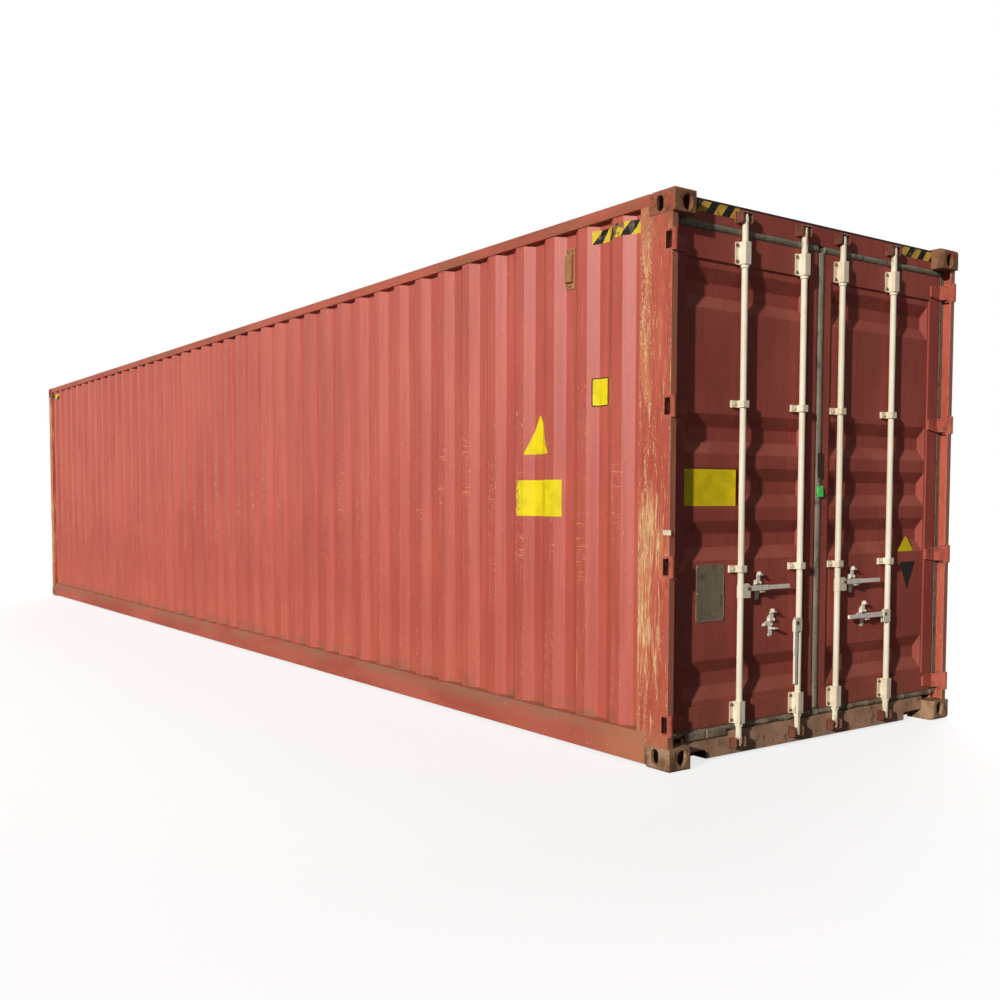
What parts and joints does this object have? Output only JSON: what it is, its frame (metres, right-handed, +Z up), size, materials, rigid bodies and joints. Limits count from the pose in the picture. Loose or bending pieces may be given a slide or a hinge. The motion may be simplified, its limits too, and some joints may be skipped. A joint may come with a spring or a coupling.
{
  "type": "shipping container",
  "caption": "Long high-cube steel freight container with pressed walls, a pair of swinging end doors, turning locking bars, handles and cast corner fittings.",
  "frame": {"origin": "middle of the rectangle that the bottom corner fittings stand on", "axes": "+X along the length towards the doors, +Y to the right of someone facing the doors, +Z up"},
  "size_m": [12.192, 2.438, 2.896],
  "materials": {
    "wall_paint": "faded salmon red paint, matt",
    "door_paint": "dark maroon paint, dusty",
    "post_paint": "salmon red paint with scratches",
    "rail_paint": "dark red paint, dusty",
    "sill_paint": "brown paint under road dirt",
    "casting": "rusty brown cast steel",
    "zinc_bar": "cream paint over galvanised steel",
    "forging": "rusty forged steel",
    "zinc_handle": "worn galvanised steel",
    "hinge_steel": "maroon paint over steel",
    "rubber_seal": "dusty grey-brown rubber",
    "plywood": "worn marine plywood",
    "underframe": "black bitumen coating",
    "vent_plastic": "painted plastic cover"
  },
  "bodies": {
    "container": {"bottom_corner_fittings": "casting", "top_corner_fittings": "casting", "door_corner_posts": "post_paint", "front_corner_posts": "post_paint", "top_side_rails": "rail_paint", "bottom_side_rails": "rail_paint", "door_header": "door_paint", "door_sill": "sill_paint", "front_header": "rail_paint", "front_sill": "rail_paint", "front_sill_bridge": "rail_paint", "left_side_wall": "wall_paint", "right_side_wall": "wall_paint", "front_wall": "wall_paint", "roof": "wall_paint", "roof_end_plate": "wall_paint", "floor_boards": "plywood", "cross_members": "underframe", "gooseneck_tunnel": "underframe", "tunnel_sides": "underframe", "tunnel_outriggers": "underframe", "tunnel_bows": "underframe", "ventilators": "vent_plastic", "left_hinge_pins": "hinge_steel", "right_hinge_pins": "hinge_steel", "top_cam_keepers": "forging", "bottom_cam_keepers": "forging"},
    "left_door": {"left_door_frame": "door_paint", "left_door_panel": "door_paint", "left_door_gasket": "rubber_seal", "left_door_hinge_blades": "hinge_steel", "left_bar_brackets": "hinge_steel", "left_handle_retainers": "hinge_steel"},
    "right_door": {"right_door_frame": "door_paint", "right_door_panel": "door_paint", "right_door_gasket": "rubber_seal", "right_door_hinge_blades": "hinge_steel", "right_bar_brackets": "hinge_steel", "right_handle_retainers": "hinge_steel"},
    "locking_bar_1": {"locking_bar_1": "zinc_bar"},
    "handle_1": {"handle_1": "zinc_handle"},
    "latch_1": {"latch_1": "zinc_handle"},
    "locking_bar_2": {"locking_bar_2": "zinc_bar"},
    "handle_2": {"handle_2": "zinc_handle"},
    "latch_2": {"latch_2": "zinc_handle"},
    "locking_bar_3": {"locking_bar_3": "zinc_bar"},
    "handle_3": {"handle_3": "zinc_handle"},
    "latch_3": {"latch_3": "zinc_handle"},
    "locking_bar_4": {"locking_bar_4": "zinc_bar"},
    "handle_4": {"handle_4": "zinc_handle"},
    "latch_4": {"latch_4": "zinc_handle"}
  },
  "joints": [
    {"name": "left_door_hinge", "type": "hinge", "parent": "container", "child": "left_door", "pos_m": [6.08, -1.201, 1.43], "axis": [0, 0, -1], "range_deg": [0, 270]},
    {"name": "right_door_hinge", "type": "hinge", "parent": "container", "child": "right_door", "pos_m": [6.08, 1.201, 1.43], "axis": [0, 0, 1], "range_deg": [0, 270]},
    {"name": "locking_bar_1_turn", "type": "hinge", "parent": "left_door", "child": "locking_bar_1", "pos_m": [6.039, -0.647, 1.45], "axis": [0, 0, 1], "range_deg": [-110, 0]},
    {"name": "handle_1_lift", "type": "hinge", "parent": "locking_bar_1", "child": "handle_1", "pos_m": [6.048, -0.606, 0.897], "axis": [1, 0, 0], "range_deg": [0, 12]},
    {"name": "latch_1_turn", "type": "hinge", "parent": "left_door", "child": "latch_1", "pos_m": [6.019, -0.487, 0.921], "axis": [0, -1, 0], "range_deg": [-90, 0]},
    {"name": "locking_bar_2_turn", "type": "hinge", "parent": "left_door", "child": "locking_bar_2", "pos_m": [6.039, -0.168, 1.45], "axis": [0, 0, -1], "range_deg": [-105, 5]},
    {"name": "handle_2_lift", "type": "hinge", "parent": "locking_bar_2", "child": "handle_2", "pos_m": [6.05154, -0.20806, 0.69], "axis": [-0.9962, -0.0872, 0], "range_deg": [0, 102]},
    {"name": "latch_2_turn", "type": "hinge", "parent": "left_door", "child": "latch_2", "pos_m": [6.019, -0.374, 0.714], "axis": [0, -1, 0], "range_deg": [-90, 0]},
    {"name": "locking_bar_3_turn", "type": "hinge", "parent": "right_door", "child": "locking_bar_3", "pos_m": [6.039, 0.168, 1.45], "axis": [0, 0, 1], "range_deg": [-110, 0]},
    {"name": "handle_3_lift", "type": "hinge", "parent": "locking_bar_3", "child": "handle_3", "pos_m": [6.048, 0.209, 0.897], "axis": [1, 0, 0], "range_deg": [0, 12]},
    {"name": "latch_3_turn", "type": "hinge", "parent": "right_door", "child": "latch_3", "pos_m": [6.019, 0.328, 0.921], "axis": [0, -1, 0], "range_deg": [-90, 0]},
    {"name": "locking_bar_4_turn", "type": "hinge", "parent": "right_door", "child": "locking_bar_4", "pos_m": [6.039, 0.647, 1.45], "axis": [0, 0, -1], "range_deg": [-110, 0]},
    {"name": "handle_4_lift", "type": "hinge", "parent": "locking_bar_4", "child": "handle_4", "pos_m": [6.048, 0.606, 0.69], "axis": [-1, 0, 0], "range_deg": [0, 12]},
    {"name": "latch_4_turn", "type": "hinge", "parent": "right_door", "child": "latch_4", "pos_m": [6.019, 0.441, 0.714], "axis": [0, -1, 0], "range_deg": [-90, 0]}
  ]
}
